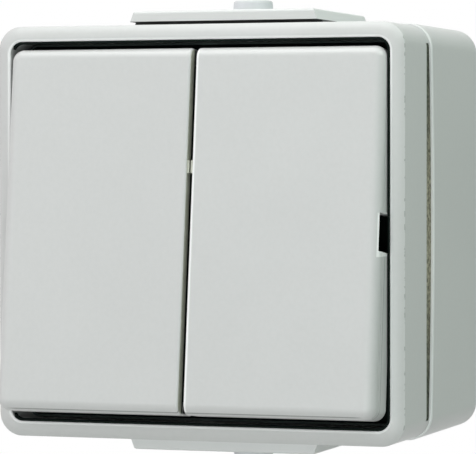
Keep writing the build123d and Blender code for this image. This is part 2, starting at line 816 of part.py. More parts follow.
# Fixed contacts
with BuildPart() as out_contact_right:
    strip_start = button_rise - strip_margin
    with BuildSketch(Plane.XZ.offset(chamber_floor)):
        with Locations((toggle_x, -strip_start)):
            Rectangle(strip_width, strip_end - strip_start, align=(Align.CENTER, Align.MAX))
        with Locations((toggle_x, -terminal_place)):
            Circle(screw_radius + screw_fit, mode=Mode.SUBTRACT)
    extrude(amount=strip_thickness)
    with BuildSketch(Plane.XZ.offset(strip_top)):
        with Locations((toggle_x, -button_rise)):
            Circle(button_radius)
    extrude(amount=fixed_button_height)

with BuildPart() as out_contact_left:
    mirror(out_contact_right.part, about=Plane.YZ)


def build_screws(seat, places, radius, length):
    """Pan-head screws with a cross recess, seated at a depth, one at each place."""
    with BuildPart() as screws:
        with BuildSketch(Plane.XZ.offset(seat)):
            with Locations(*places):
                Circle(radius)
        extrude(amount=head_height)
        fillet(screws.faces().group_by(Axis.Y)[0].edges(), head_round)
        with BuildSketch(Plane.XZ.offset(seat)):
            with Locations(*places):
                Circle(screw_radius)
        extrude(amount=-length)
        with BuildSketch(Plane.XZ.offset(seat + head_height)):
            with Locations(*places):
                Rectangle(recess_length, recess_width)
                Rectangle(recess_width, recess_length)
        extrude(amount=-recess_depth, mode=Mode.SUBTRACT)
    return screws


terminal_screws = build_screws(strip_top, terminal_places, terminal_head_radius, terminal_screw_length)
plate_screws = build_screws(plate_front, plate_screw_places, head_radius, plate_screw_length)
cover_screws = build_screws(floor_depth, cover_screw_places, head_radius, cover_screw_length)

# Name the pieces and write them out
pieces = {
    "back_box": back_box,
    "cover_gasket": cover_gasket,
    "front_cover": front_cover,
    "splash_seal": splash_seal,
    "cable_entry_top": cable_entry_top,
    "cable_entry_bottom": cable_entry_bottom,
    "rocker_left": rocker_left,
    "rocker_right": rocker_right,
    "axle": axle,
    "toggle_left": toggle_left,
    "toggle_right": toggle_right,
    "plunger_left": plunger_left,
    "plunger_right": plunger_right,
    "plunger_spring_left": plunger_spring_left,
    "plunger_spring_right": plunger_spring_right,
    "switch_base": switch_base,
    "support_plate": support_plate,
    "contact_rocker_left": contact_rocker_left,
    "contact_rocker_right": contact_rocker_right,
    "contact_pin": contact_pin,
    "common_contact": common_contact,
    "out_contact_left": out_contact_left,
    "out_contact_right": out_contact_right,
    "terminal_screws": terminal_screws,
    "plate_screws": plate_screws,
    "cover_screws": cover_screws,
}
for name, piece in pieces.items():
    piece.part.label = name
    export_step(piece.part, f"parts/{name}.step")
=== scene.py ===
"""Looks of a surface-mounted, splash-proof rocker light switch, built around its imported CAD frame."""

import json
from math import cos, pi, radians, sin

import bmesh
import bpy
from mathutils import Matrix, Vector


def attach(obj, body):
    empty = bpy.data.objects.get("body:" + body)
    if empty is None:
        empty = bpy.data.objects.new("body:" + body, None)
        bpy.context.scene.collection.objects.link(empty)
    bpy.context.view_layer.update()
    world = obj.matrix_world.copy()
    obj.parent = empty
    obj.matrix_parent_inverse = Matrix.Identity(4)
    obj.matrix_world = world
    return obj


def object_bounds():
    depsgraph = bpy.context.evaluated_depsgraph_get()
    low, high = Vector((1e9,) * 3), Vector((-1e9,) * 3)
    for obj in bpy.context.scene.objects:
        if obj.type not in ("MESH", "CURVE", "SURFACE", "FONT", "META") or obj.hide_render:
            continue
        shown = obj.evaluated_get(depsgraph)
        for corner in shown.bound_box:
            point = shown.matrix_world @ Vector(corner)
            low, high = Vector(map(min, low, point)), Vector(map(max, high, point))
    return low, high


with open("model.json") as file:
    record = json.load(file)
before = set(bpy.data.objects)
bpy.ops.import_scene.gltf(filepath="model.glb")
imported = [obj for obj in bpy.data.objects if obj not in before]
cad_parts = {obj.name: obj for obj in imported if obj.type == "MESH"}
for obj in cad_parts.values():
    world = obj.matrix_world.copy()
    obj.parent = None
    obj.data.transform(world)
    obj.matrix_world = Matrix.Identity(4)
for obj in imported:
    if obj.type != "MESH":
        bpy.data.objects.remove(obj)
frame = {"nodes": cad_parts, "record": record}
cad_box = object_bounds()
scene = bpy.context.scene
MM = 0.001

# Camera, fitted to the cover, the rocker opening and the rear edge
CAMERA_PLACE_MM = (159.398, -488.111, 11.640)
CAMERA_YAW = 18.935
CAMERA_DOWN = 1.299
CAMERA_ROLL = -0.054
LENS_MM = 226.118
SENSOR_MM = 36.0

# The room, in which a pale surface that faces the camera renders about as its colour is written. The spans
# are shares of a direction, from where the right or the front of the room begins to where it is full
ROOM_LIGHT = 0.64
ROOM_LEFT_COLOUR = "#FFFDFE"
ROOM_RIGHT_COLOUR = "#5E7B6C"
ROOM_FRONT_COLOUR = "#A0A0A0"
SET_RIGHT_COLOUR = "#C2D2C8"
ROOM_RIGHT_SPAN = (-0.2, 0.8)
ROOM_FRONT_SPAN = (-0.4, -0.95)

# The floor, in metres where no unit is named
FLOOR_COLOUR = "#B4B4B2"
FLOOR_GLOW = 0.80
FLOOR_SHADOW_COLOUR = "#8A8A8A"
FLOOR_RADIUS = 0.40
FLOOR_SIDES = 96
FLOOR_DROP_MM = 70.0

# Softboxes: name, place in metres, width and height in metres, power in watts and colour
SOFTBOXES = (
    ("key_box", (-0.03, -0.13, 0.32), (0.30, 0.22), 0.58, "#FFFDFE"),
    ("right_box", (0.24, -0.10, 0.34), (0.30, 0.22), 0.18, "#FAFFFC"),
    ("side_box", (0.20, -0.11, 0.18), (0.16, 0.12), 0.16, "#F4FFF8"),
    ("front_fill", (0.18, -0.46, -0.03), (0.30, 0.14), 0.08, "#FFFDFE"),
    ("left_fill", (-0.20, -0.28, 0.05), (0.20, 0.16), 0.10, "#FFFDFE"),
    ("low_fill", (0.10, -0.45, -0.075), (0.30, 0.05), 0.50, "#F8FEFF"),
)
LIT_PLACE = Vector((0.0, -0.022, 0.0))

# How a CAD node's loose triangles are joined, the angle past which two faces meet in a crease, and how much
# more a large face weighs than a small one in the normals, where 100 is the most
JOIN_MM = 0.002
CREASE_ANGLE = 24.0
LARGE_FACE_WEIGHT = 100

# Satin plastics: pale and deep tint, roughness, and the size and height of the grain in mm
CASE_FINISH = ("#CECFCE", "#C8CAC8", 0.36, 0.35, 0.006)
ROCKER_FINISH = ("#CFD0CF", "#CACBCA", 0.32, 0.35, 0.004)

# The rockers' face as it leans at rest, with its place along its own outward line
ROCKER_LEAN = radians(6.6)
PIVOT_DEPTH_MM = 43.0
FACE_REACH_MM = 5.25
FACE_OUTWARD = (0.0, -cos(ROCKER_LEAN), sin(ROCKER_LEAN))
FACE_PLACE_MM = PIVOT_DEPTH_MM * cos(ROCKER_LEAN) + FACE_REACH_MM

# The parting line round the rockers' walls and the painted shade line along their toe: how far behind the face
# they lie, half their width, how far the parting line sways, and how strong the toe's painted shade is
PARTING_DROP_MM = 3.5
PARTING_HALF_MM = 0.13
PARTING_SWAY_MM = 0.35
TOE_LINE_DROP_MM = 0.70
TOE_LINE_HALF_MM = 0.11
TOE_LINE_SHARE = 0.55

# Bands of painted shade and painted highlight on the rockers, each from where it begins to where it is full:
# OUT from the middle of the switch to either side, RIGHT and UP along the axes, RISE up or down from
# mid-height, and DROP behind the face
GAP_WALL_OUT_MM = (0.49, 0.46)
GAP_SHADE_DROP_MM = (1.75, 1.95)
TOE_UP_MM = (-26.8, -27.0)
TOE_OUT_MM = (29.6, 28.0)
SPACER_RIGHT_MM = (0.43, 0.46)
HIGHLIGHT_RIGHT_MM = (1.00, 0.78)
HIGHLIGHT_DROP_MM = (0.7, 0.5)
NOTCH_RISE_MM = (3.45, 3.30)
NOTCH_DROP_MM = (0.50, 0.62)
NOTCH_RIGHT_MM = (29.5, 29.8)

# The cover: the middles and the radius of the opening's corners, the bands between which its edge carries a
# painted highlight, outwards from the opening, and the crease round its crown
OPENING_INSIDE_MM = (29.75, 0.0, 28.5)
OPENING_CORNER_MM = 2.0
OPENING_HIGHLIGHT_START_MM = (0.01, 0.05)
OPENING_HIGHLIGHT_STOP_MM = (0.50, 0.25)
CREASE_PLACE_MM = -43.05
CREASE_HALF_MM = 0.12
CREASE_SIDE_MM = 33.5

# The box's lip along the seam: its place at mid-height, how far it comes forward from there and at what
# height, and the band behind it that carries a painted highlight
LIP_PLACE_MM = -27.15
LIP_RISE_MM = -1.25
LIP_RISE_END_MM = 29.2
LIP_HIGHLIGHT_MM = (0.55, 0.35)

# Bands on the small pieces, from mid-height up or down: painted shade under the cable entries' pads, at their
# nipples' feet, and along the gasket to its ends, which are painted dark as shade. The last is a painted
# highlight on the crest of the seal's bead, from the wall outwards
ENTRY_UNDERSIDE_SHADE_MM = (34.13, 34.09)
NIPPLE_FOOT_MM = (35.95, 36.05)
SEAM_SHADE_MM = (7.25, 24.65)
BEAD_CREST_MM = (-36.8, -36.95)

# The near-black wiper behind the opening's edge, which stands in for the shade deep in the gap: half its size,
# how far it stands out of the wall, its depth and place, where it ends on the left, and its rounded edges
WIPER_HALF_MM = (31.76, 30.51)
WIPER_REACH_MM = 0.36
WIPER_DEPTH_MM = 1.0
WIPER_PLACE_MM = -42.85
WIPER_END_MM = -31.2
WIPER_ROUND_MM = 0.06
WIPER_CORNER_STEPS = 10
SHARP_ANGLE = 60.0
CUT_REACH_MM = 0.0001

# The part of a noise's range that most of it lies in
NOISE_LOW = 0.3
NOISE_HIGH = 0.7

# The colour mix node's sockets, which share their names with its sockets for numbers
MIX_SHARE = 0
MIX_FIRST = 6
MIX_SECOND = 7
MIX_COLOUR = 2


def to_linear(hex_colour):
    """Turn an sRGB hex colour into the linear colour that a shader reads."""
    channels = [int(hex_colour[place:place + 2], 16) / 255 for place in (1, 3, 5)]
    linear = [c / 12.92 if c <= 0.04045 else ((c + 0.055) / 1.055) ** 2.4 for c in channels]
    return (*linear, 1.0)


def per_mm(size_mm):
    """Texture scale at which a pattern comes again about once in the given size."""
    return 1 / (size_mm * MM)


def band(start_mm, full_mm):
    """Socket values of a map that goes from 0 at the first place to 1 at the second."""
    return {"From Min": start_mm * MM, "From Max": full_mm * MM}


def behind_face(drops_mm):
    """Socket values of a map between two places behind the rockers' face."""
    return band(*(FACE_PLACE_MM - drop for drop in drops_mm))


def roughness_between(low, high):
    """Socket values of a map that turns a noise into a range of roughness."""
    return {"From Min": NOISE_LOW, "From Max": NOISE_HIGH, "To Min": low, "To Max": high}


def add_node(tree, kind, settings=None, values=None, links=None):
    """Add one node with its settings, the values of its sockets and its links."""
    node = tree.nodes.new("ShaderNode" + kind)
    for name, value in (settings or {}).items():
        setattr(node, name, value)
    for socket, value in (values or {}).items():
        node.inputs[socket].default_value = value
    for socket, source in (links or {}).items():
        tree.links.new(source, node.inputs[socket])
    return node


def start_material(name):
    """Make an empty material, and give it with its tree and its Object coordinates."""
    material = bpy.data.materials.new(name)
    material.use_nodes = True
    tree = material.node_tree
    tree.nodes.clear()
    place = add_node(tree, "TexCoord").outputs["Object"]
    return material, tree, place


def close_material(tree, values, links):
    """Finish a material with its surface shader."""
    shader = add_node(tree, "BsdfPrincipled", values=values, links=links)
    add_node(tree, "OutputMaterial", links={"Surface": shader.outputs["BSDF"]})


def draw_parting(tree, outward, flash, colour):
    """Draw the mould's parting line round a rocker's walls."""
    ragged = add_node(
        tree, "Math", {"operation": "MULTIPLY_ADD"},
        values={1: PARTING_SWAY_MM * MM},
        links={0: flash, 2: outward},
    )
    parting = add_node(
        tree, "Math", {"operation": "COMPARE"},
        values={1: (FACE_PLACE_MM - PARTING_DROP_MM) * MM, 2: PARTING_HALF_MM * MM},
        links={0: ragged.outputs[0]},
    )
    walls = add_node(
        tree, "Mix", {"data_type": "RGBA"},
        values={MIX_SECOND: to_linear("#A6AAA7")},
        links={MIX_SHARE: parting.outputs[0], MIX_FIRST: colour},
    )
    return walls.outputs[MIX_COLOUR]


def paint_gap_shade(tree, from_middle, outward, flash, colour):
    """Paint shade on the walls of the gap between the rockers: a darker grainy brown-grey, and black at their
    feet.
    """
    in_gap = add_node(
        tree, "MapRange",
        values=band(*GAP_WALL_OUT_MM),
        links={"Value": from_middle},
    )
    # A darker grainy brown-grey on the gap walls, painted shade
    painted_light = add_node(
        tree, "Mix", {"data_type": "RGBA"},
        values={MIX_FIRST: to_linear("#A2A596"), MIX_SECOND: to_linear("#D2D4C8")},
        links={MIX_SHARE: flash},
    )
    # Deeper behind the face the gap walls turn black, painted shade
    gap_foot_shade = add_node(
        tree, "MapRange",
        values=behind_face(GAP_SHADE_DROP_MM),
        links={"Value": outward},
    )
    shaded_gap_wall = add_node(
        tree, "Mix", {"data_type": "RGBA"},
        values={MIX_SECOND: to_linear("#0C100E")},
        links={MIX_SHARE: gap_foot_shade.outputs["Result"], MIX_FIRST: painted_light.outputs[MIX_COLOUR]},
    )
    gapped = add_node(
        tree, "Mix", {"data_type": "RGBA"},
        links={
            MIX_SHARE: in_gap.outputs["Result"],
            MIX_FIRST: colour,
            MIX_SECOND: shaded_gap_wall.outputs[MIX_COLOUR],
        },
    )
    return gapped.outputs[MIX_COLOUR]


def paint_toe_shade(tree, axes, from_middle, outward, colour):
    """Paint shade along a rocker's toe as a dark line on the underside of its round, which fades before the
    corner.
    """
    on_line = add_node(
        tree, "Math", {"operation": "COMPARE"},
        values={1: (FACE_PLACE_MM - TOE_LINE_DROP_MM) * MM, 2: TOE_LINE_HALF_MM * MM},
        links={0: outward},
    )
    at_toe = add_node(
        tree, "MapRange",
        values=band(*TOE_UP_MM),
        links={"Value": axes["Z"]},
    )
    along_toe = add_node(
        tree, "MapRange",
        values={**band(*TOE_OUT_MM), "To Max": TOE_LINE_SHARE},
        links={"Value": from_middle},
    )
    toe_end = add_node(
        tree, "Math", {"operation": "MULTIPLY"},
        links={0: at_toe.outputs["Result"], 1: along_toe.outputs["Result"]},
    )
    # The dark toe line is painted shade
    toe_shade_line = add_node(
        tree, "Math", {"operation": "MULTIPLY"},
        links={0: on_line.outputs[0], 1: toe_end.outputs[0]},
    )
    lined = add_node(
        tree, "Mix", {"data_type": "RGBA"},
        values={MIX_SECOND: to_linear("#3C413B")},
        links={MIX_SHARE: toe_shade_line.outputs[0], MIX_FIRST: colour},
    )
    return lined.outputs[MIX_COLOUR]


def paint_edge_highlights(tree, axes, outward, colour):
    """Paint highlights as pale colour on the right rocker's edge at the middle gap and on the rim of its pry
    notch.
    """
    off_spacer = add_node(
        tree, "MapRange",
        values=band(*SPACER_RIGHT_MM),
        links={"Value": axes["X"]},
    )
    off_face = add_node(
        tree, "MapRange",
        values=band(*HIGHLIGHT_RIGHT_MM),
        links={"Value": axes["X"]},
    )
    at_middle = add_node(
        tree, "Math", {"operation": "MULTIPLY"},
        links={0: off_spacer.outputs["Result"], 1: off_face.outputs["Result"]},
    )
    at_face = add_node(
        tree, "MapRange",
        values=behind_face(HIGHLIGHT_DROP_MM),
        links={"Value": outward},
    )
    highlit = add_node(
        tree, "Math", {"operation": "MULTIPLY"},
        links={0: at_middle.outputs[0], 1: at_face.outputs["Result"]},
    )
    # The painted highlight round the pry notch's rim
    height = add_node(tree, "Math", {"operation": "ABSOLUTE"}, links={0: axes["Z"]})
    at_notch = add_node(
        tree, "MapRange",
        values=band(*NOTCH_RISE_MM),
        links={"Value": height.outputs[0]},
    )
    off_cap = add_node(
        tree, "MapRange",
        values=behind_face(NOTCH_DROP_MM),
        links={"Value": outward},
    )
    at_side = add_node(
        tree, "MapRange",
        values=band(*NOTCH_RIGHT_MM),
        links={"Value": axes["X"]},
    )
    notch_side = add_node(
        tree, "Math", {"operation": "MULTIPLY"},
        links={0: off_cap.outputs["Result"], 1: at_side.outputs["Result"]},
    )
    notch_rim = add_node(
        tree, "Math", {"operation": "MULTIPLY"},
        links={0: at_notch.outputs["Result"], 1: notch_side.outputs[0]},
    )
    highlit_edges = add_node(
        tree, "Math", {"operation": "MAXIMUM"},
        links={0: highlit.outputs[0], 1: notch_rim.outputs[0]},
    )
    # The pale colour is a painted highlight
    edged = add_node(
        tree, "Mix", {"data_type": "RGBA"},
        values={MIX_SECOND: to_linear("#F6F7F6")},
        links={MIX_SHARE: highlit_edges.outputs[0], MIX_FIRST: colour},
    )
    return edged.outputs[MIX_COLOUR]


def rocker_edges(tree, place, colour):
    """Mark the rockers with their parting line, painted shade in the gap between them and along the toe, and
    painted highlights on edges.
    """
    axes = add_node(tree, "SeparateXYZ", links={0: place}).outputs
    outward = add_node(
        tree, "VectorMath", {"operation": "DOT_PRODUCT"},
        values={1: FACE_OUTWARD},
        links={0: place},
    ).outputs["Value"]
    # Flash along a parting line is finer than this, and drawn this coarse to show
    flash = add_node(
        tree, "TexNoise",
        values={"Scale": per_mm(0.8), "Detail": 3.0, "Roughness": 0.7},
        links={"Vector": place},
    ).outputs["Fac"]
    from_middle = add_node(tree, "Math", {"operation": "ABSOLUTE"}, links={0: axes["X"]}).outputs[0]
    colour = draw_parting(tree, outward, flash, colour)
    colour = paint_gap_shade(tree, from_middle, outward, flash, colour)
    colour = paint_toe_shade(tree, axes, from_middle, outward, colour)
    return paint_edge_highlights(tree, axes, outward, colour)


def opening_edge(tree, place, colour):
    """Paint a highlight as pale colour on the rounded edge of the cover's opening, and nick the crease round
    its crown.
    """
    across = add_node(
        tree, "VectorMath", {"operation": "MULTIPLY"},
        values={1: (1.0, 0.0, 1.0)},
        links={0: place},
    )
    folded = add_node(tree, "VectorMath", {"operation": "ABSOLUTE"}, links={0: across.outputs["Vector"]})
    past = add_node(
        tree, "VectorMath", {"operation": "SUBTRACT"},
        values={1: [size * MM for size in OPENING_INSIDE_MM]},
        links={0: folded.outputs["Vector"]},
    )
    corner = add_node(tree, "VectorMath", {"operation": "MAXIMUM"}, links={0: past.outputs["Vector"]})
    away = add_node(tree, "VectorMath", {"operation": "LENGTH"}, links={0: corner.outputs["Vector"]})
    inner = add_node(
        tree, "MapRange",
        values=band(*(OPENING_CORNER_MM + reach for reach in OPENING_HIGHLIGHT_START_MM)),
        links={"Value": away.outputs["Value"]},
    )
    outer = add_node(
        tree, "MapRange",
        values=band(*(OPENING_CORNER_MM + reach for reach in OPENING_HIGHLIGHT_STOP_MM)),
        links={"Value": away.outputs["Value"]},
    )
    highlit = add_node(
        tree, "Math", {"operation": "MULTIPLY"},
        links={0: inner.outputs["Result"], 1: outer.outputs["Result"]},
    )
    # The pale colour is a painted highlight
    edged = add_node(
        tree, "Mix", {"data_type": "RGBA"},
        values={MIX_SECOND: to_linear("#F4F5F4")},
        links={MIX_SHARE: highlit.outputs[0], MIX_FIRST: colour},
    )
    # Nicks along the crease between the crown and the two sides, drawn this coarse to show
    axes = add_node(tree, "SeparateXYZ", links={0: place})
    at_crease = add_node(
        tree, "Math", {"operation": "COMPARE"},
        values={1: CREASE_PLACE_MM * MM, 2: CREASE_HALF_MM * MM},
        links={0: axes.outputs["Y"]},
    )
    from_middle = add_node(tree, "Math", {"operation": "ABSOLUTE"}, links={0: axes.outputs["X"]})
    outside = add_node(
        tree, "Math", {"operation": "GREATER_THAN"},
        values={1: CREASE_SIDE_MM * MM},
        links={0: from_middle.outputs[0]},
    )
    nicks = add_node(
        tree, "TexNoise",
        values={"Scale": per_mm(0.8), "Detail": 2.0, "Roughness": 0.6},
        links={"Vector": place},
    )
    nicked = add_node(
        tree, "MapRange",
        values={"From Min": 0.54, "From Max": 0.62, "To Max": 0.5},
        links={"Value": nicks.outputs["Fac"]},
    )
    along_crease = add_node(
        tree, "Math", {"operation": "MULTIPLY"},
        links={0: at_crease.outputs[0], 1: outside.outputs[0]},
    )
    nick = add_node(
        tree, "Math", {"operation": "MULTIPLY"},
        links={0: along_crease.outputs[0], 1: nicked.outputs["Result"]},
    )
    worn = add_node(
        tree, "Mix", {"data_type": "RGBA"},
        values={MIX_SECOND: to_linear("#7C827E")},
        links={MIX_SHARE: nick.outputs[0], MIX_FIRST: edged.outputs[MIX_COLOUR]},
    )
    return worn.outputs[MIX_COLOUR]


def paint_lip_highlight(tree, place, colour):
    """Paint a highlight as pale colour on the box's thin lip along the seam, which dips towards the wall in
    the middle.
    """
    axes = add_node(tree, "SeparateXYZ", links={0: place})
    share = add_node(
        tree, "Math", {"operation": "MULTIPLY"},
        values={1: per_mm(LIP_RISE_END_MM)},
        links={0: axes.outputs["Z"]},
    )
    square = add_node(
        tree, "Math", {"operation": "MULTIPLY"},
        links={0: share.outputs[0], 1: share.outputs[0]},
    )
    risen = add_node(
        tree, "Math", {"operation": "MINIMUM"},
        values={1: 1.0},
        links={0: square.outputs[0]},
    )
    rim = add_node(
        tree, "Math", {"operation": "MULTIPLY_ADD"},
        values={1: LIP_RISE_MM * MM, 2: LIP_PLACE_MM * MM},
        links={0: risen.outputs[0]},
    )
    behind = add_node(
        tree, "Math", {"operation": "SUBTRACT"},
        links={0: axes.outputs["Y"], 1: rim.outputs[0]},
    )
    highlit = add_node(
        tree, "MapRange",
        values=band(*LIP_HIGHLIGHT_MM),
        links={"Value": behind.outputs[0]},
    )
    # The pale colour is a painted highlight
    edged = add_node(
        tree, "Mix", {"data_type": "RGBA"},
        values={MIX_SECOND: to_linear("#E6E8E7")},
        links={MIX_SHARE: highlit.outputs["Result"], MIX_FIRST: colour},
    )
    return edged.outputs[MIX_COLOUR]


def moulded_abs(name, pale, deep, roughness, grain_mm, grain_height_mm, edges):
    """Satin ABS from a spark-eroded mould: grey with faint flow marks, a soft gloss, and edge marks with
    painted highlights and painted shade.
    """
    material, tree, place = start_material(name)
    flow = add_node(
        tree, "TexNoise",
        values={"Scale": per_mm(22.0), "Detail": 3.0, "Roughness": 0.55, "Distortion": 0.6},
        links={"Vector": place},
    )
    flow_colour = add_node(
        tree, "Mix", {"data_type": "RGBA"},
        values={MIX_FIRST: to_linear(deep), MIX_SECOND: to_linear(pale)},
        links={MIX_SHARE: flow.outputs["Fac"]},
    )
    # Pigment specks are finer in the real plastic, and drawn this coarse to show
    pigment = add_node(
        tree, "TexNoise",
        values={"Scale": per_mm(0.7), "Detail": 2.0, "Roughness": 0.6},
        links={"Vector": place},
    )
    speck = add_node(
        tree, "MapRange",
        values={"From Min": 0.35, "From Max": 0.75, "To Min": 0.0, "To Max": 0.10},
        links={"Value": pigment.outputs["Fac"]},
    )
    colour = add_node(
        tree, "Mix", {"data_type": "RGBA"},
        values={MIX_SECOND: to_linear("#B4B8B5")},
        links={MIX_SHARE: speck.outputs["Result"], MIX_FIRST: flow_colour.outputs[MIX_COLOUR]},
    )
    worn_gloss = add_node(
        tree, "MapRange",
        values=roughness_between(roughness - 0.03, roughness + 0.04),
        links={"Value": flow.outputs["Fac"]},
    )
    # The spark-eroded grain
    grain = add_node(
        tree, "TexNoise",
        values={"Scale": per_mm(grain_mm), "Detail": 2.0, "Roughness": 0.5},
        links={"Vector": place},
    )
    bump = add_node(
        tree, "Bump",
        values={"Strength": 1.0, "Distance": grain_height_mm * MM},
        links={"Height": grain.outputs["Fac"]},
    )
    close_material(
        tree,
        values={"IOR": 1.52},
        links={
            "Base Color": edges(tree, place, colour.outputs[MIX_COLOUR]),
            "Roughness": worn_gloss.outputs["Result"],
            "Normal": bump.outputs["Normal"],
        },
    )
    return material


def entry_elastomer():
    """Soft moulded elastomer of the cable entries: paler and more matt than the case, a little waxy."""
    material, tree, place = start_material("moulded_tpe_entry")
    bloom = add_node(
        tree, "TexNoise",
        values={"Scale": per_mm(9.0), "Detail": 4.0, "Roughness": 0.6},
        links={"Vector": place},
    )
    colour = add_node(
        tree, "Mix", {"data_type": "RGBA"},
        values={MIX_FIRST: to_linear("#E0E2E1"), MIX_SECOND: to_linear("#E6E8E7")},
        links={MIX_SHARE: bloom.outputs["Fac"]},
    )
    worn_gloss = add_node(
        tree, "MapRange",
        values=roughness_between(0.46, 0.58),
        links={"Value": bloom.outputs["Fac"]},
    )
    # The thin nipple is a little greyer, and the gap under the pad is painted dark as shade
    axes = add_node(tree, "SeparateXYZ", links={0: place})
    height = add_node(tree, "Math", {"operation": "ABSOLUTE"}, links={0: axes.outputs["Z"]})
    under_pad_shade = add_node(
        tree, "MapRange",
        values=band(*ENTRY_UNDERSIDE_SHADE_MM),
        links={"Value": height.outputs[0]},
    )
    on_nipple = add_node(
        tree, "MapRange",
        values=band(*NIPPLE_FOOT_MM),
        links={"Value": height.outputs[0]},
    )
    worn = add_node(
        tree, "Mix", {"data_type": "RGBA"},
        values={MIX_SECOND: to_linear("#D8DBDD")},
        links={MIX_SHARE: on_nipple.outputs["Result"], MIX_FIRST: colour.outputs[MIX_COLOUR]},
    )
    # Painted shade under the pad
    shaded = add_node(
        tree, "Mix", {"data_type": "RGBA"},
        values={MIX_SECOND: to_linear("#2A2D2B")},
        links={MIX_SHARE: under_pad_shade.outputs["Result"], MIX_FIRST: worn.outputs[MIX_COLOUR]},
    )
    skin = add_node(
        tree, "TexNoise",
        values={"Scale": per_mm(0.5), "Detail": 2.0},
        links={"Vector": place},
    )
    bump = add_node(
        tree, "Bump",
        values={"Strength": 1.0, "Distance": 0.008 * MM},
        links={"Height": skin.outputs["Fac"]},
    )
    close_material(
        tree,
        values={"IOR": 1.48},
        links={
            "Base Color": shaded.outputs[MIX_COLOUR],
            "Roughness": worn_gloss.outputs["Result"],
            "Normal": bump.outputs["Normal"],
        },
    )
    return material


def gasket_foam():
    """Closed-cell sealing foam: gritty cut cells, brown-grey where the seam is wide, with painted shade
    darkening it towards the seam's narrow ends.
    """
    material, tree, place = start_material("closed_cell_foam_gasket")
    cells = add_node(
        tree, "TexVoronoi", {"feature": "F1"},
        values={"Scale": per_mm(0.45), "Randomness": 1.0},
        links={"Vector": place},
    )
    grit = add_node(
        tree, "TexNoise",
        values={"Scale": per_mm(0.7), "Detail": 3.0, "Roughness": 0.7},
        links={"Vector": place},
    )
    contrast = add_node(
        tree, "MapRange",
        values={"From Min": 0.38, "From Max": 0.64},
        links={"Value": grit.outputs["Fac"]},
    )
    middle = add_node(
        tree, "Mix", {"data_type": "RGBA"},
        values={MIX_FIRST: to_linear("#6B6858"), MIX_SECOND: to_linear("#BDB8A2")},
        links={MIX_SHARE: contrast.outputs["Result"]},
    )
    # Dark colours for the seam's narrow ends, painted shade
    ends = add_node(
        tree, "Mix", {"data_type": "RGBA"},
        values={MIX_FIRST: to_linear("#1E211A"), MIX_SECOND: to_linear("#5C6050")},
        links={MIX_SHARE: contrast.outputs["Result"]},
    )
    axes = add_node(tree, "SeparateXYZ", links={0: place})
    height = add_node(tree, "Math", {"operation": "ABSOLUTE"}, links={0: axes.outputs["Z"]})
    to_shaded_end = add_node(
        tree, "MapRange",
        values=band(*SEAM_SHADE_MM),
        links={"Value": height.outputs[0]},
    )
    colour = add_node(
        tree, "Mix", {"data_type": "RGBA"},
        links={
            MIX_SHARE: to_shaded_end.outputs["Result"],
            MIX_FIRST: middle.outputs[MIX_COLOUR],
            MIX_SECOND: ends.outputs[MIX_COLOUR],
        },
    )
    bump = add_node(
        tree, "Bump",
        values={"Strength": 1.0, "Distance": 0.12 * MM},
        links={"Height": cells.outputs["Distance"]},
    )
    close_material(
        tree,
        values={"IOR": 1.45, "Roughness": 0.92},
        links={"Base Color": colour.outputs[MIX_COLOUR], "Normal": bump.outputs["Normal"]},
    )
    return material


def seal_rubber(name, painted_light):
    """Moulded EPDM seal: near black with a faint bloom, and a painted highlight along the crest of its bead.
    """
    material, tree, place = start_material(name)
    bloom = add_node(
        tree, "TexNoise",
        values={"Scale": per_mm(3.0), "Detail": 5.0, "Roughness": 0.65},
        links={"Vector": place},
    )
    colour = add_node(
        tree, "Mix", {"data_type": "RGBA"},
        values={MIX_FIRST: to_linear("#0A100E"), MIX_SECOND: to_linear("#161F1C")},
        links={MIX_SHARE: bloom.outputs["Fac"]},
    )
    axes = add_node(tree, "SeparateXYZ", links={0: place})
    on_bead = add_node(
        tree, "MapRange",
        values={**band(*BEAD_CREST_MM), "To Max": painted_light},
        links={"Value": axes.outputs["Y"]},
    )
    # The paler crest is a painted highlight
    crest_lit = add_node(
        tree, "Mix", {"data_type": "RGBA"},
        values={MIX_SECOND: to_linear("#6A7773")},
        links={MIX_SHARE: on_bead.outputs["Result"], MIX_FIRST: colour.outputs[MIX_COLOUR]},
    )
    worn_gloss = add_node(
        tree, "MapRange",
        values=roughness_between(0.66, 0.82),
        links={"Value": bloom.outputs["Fac"]},
    )
    close_material(
        tree,
        values={"IOR": 1.50, "Specular IOR Level": 0.06},
        links={"Base Color": crest_lit.outputs[MIX_COLOUR], "Roughness": worn_gloss.outputs["Result"]},
    )
    return material


def socket_thermoset():
    """Compression-moulded black thermoset: hard, half-matt, with faint grey filler clouds."""
    material, tree, place = start_material("black_thermoset_socket")
    filler = add_node(
        tree, "TexNoise",
        values={"Scale": per_mm(2.5), "Detail": 5.0, "Roughness": 0.6},
        links={"Vector": place},
    )
    colour = add_node(
        tree, "Mix", {"data_type": "RGBA"},
        values={MIX_FIRST: to_linear("#171817"), MIX_SECOND: to_linear("#2B2C2A")},
        links={MIX_SHARE: filler.outputs["Fac"]},
    )
    worn_gloss = add_node(
        tree, "MapRange",
        values=roughness_between(0.38, 0.52),
        links={"Value": filler.outputs["Fac"]},
    )
    close_material(
        tree,
        values={"IOR": 1.58},
        links={"Base Color": colour.outputs[MIX_COLOUR], "Roughness": worn_gloss.outputs["Result"]},
    )
    return material


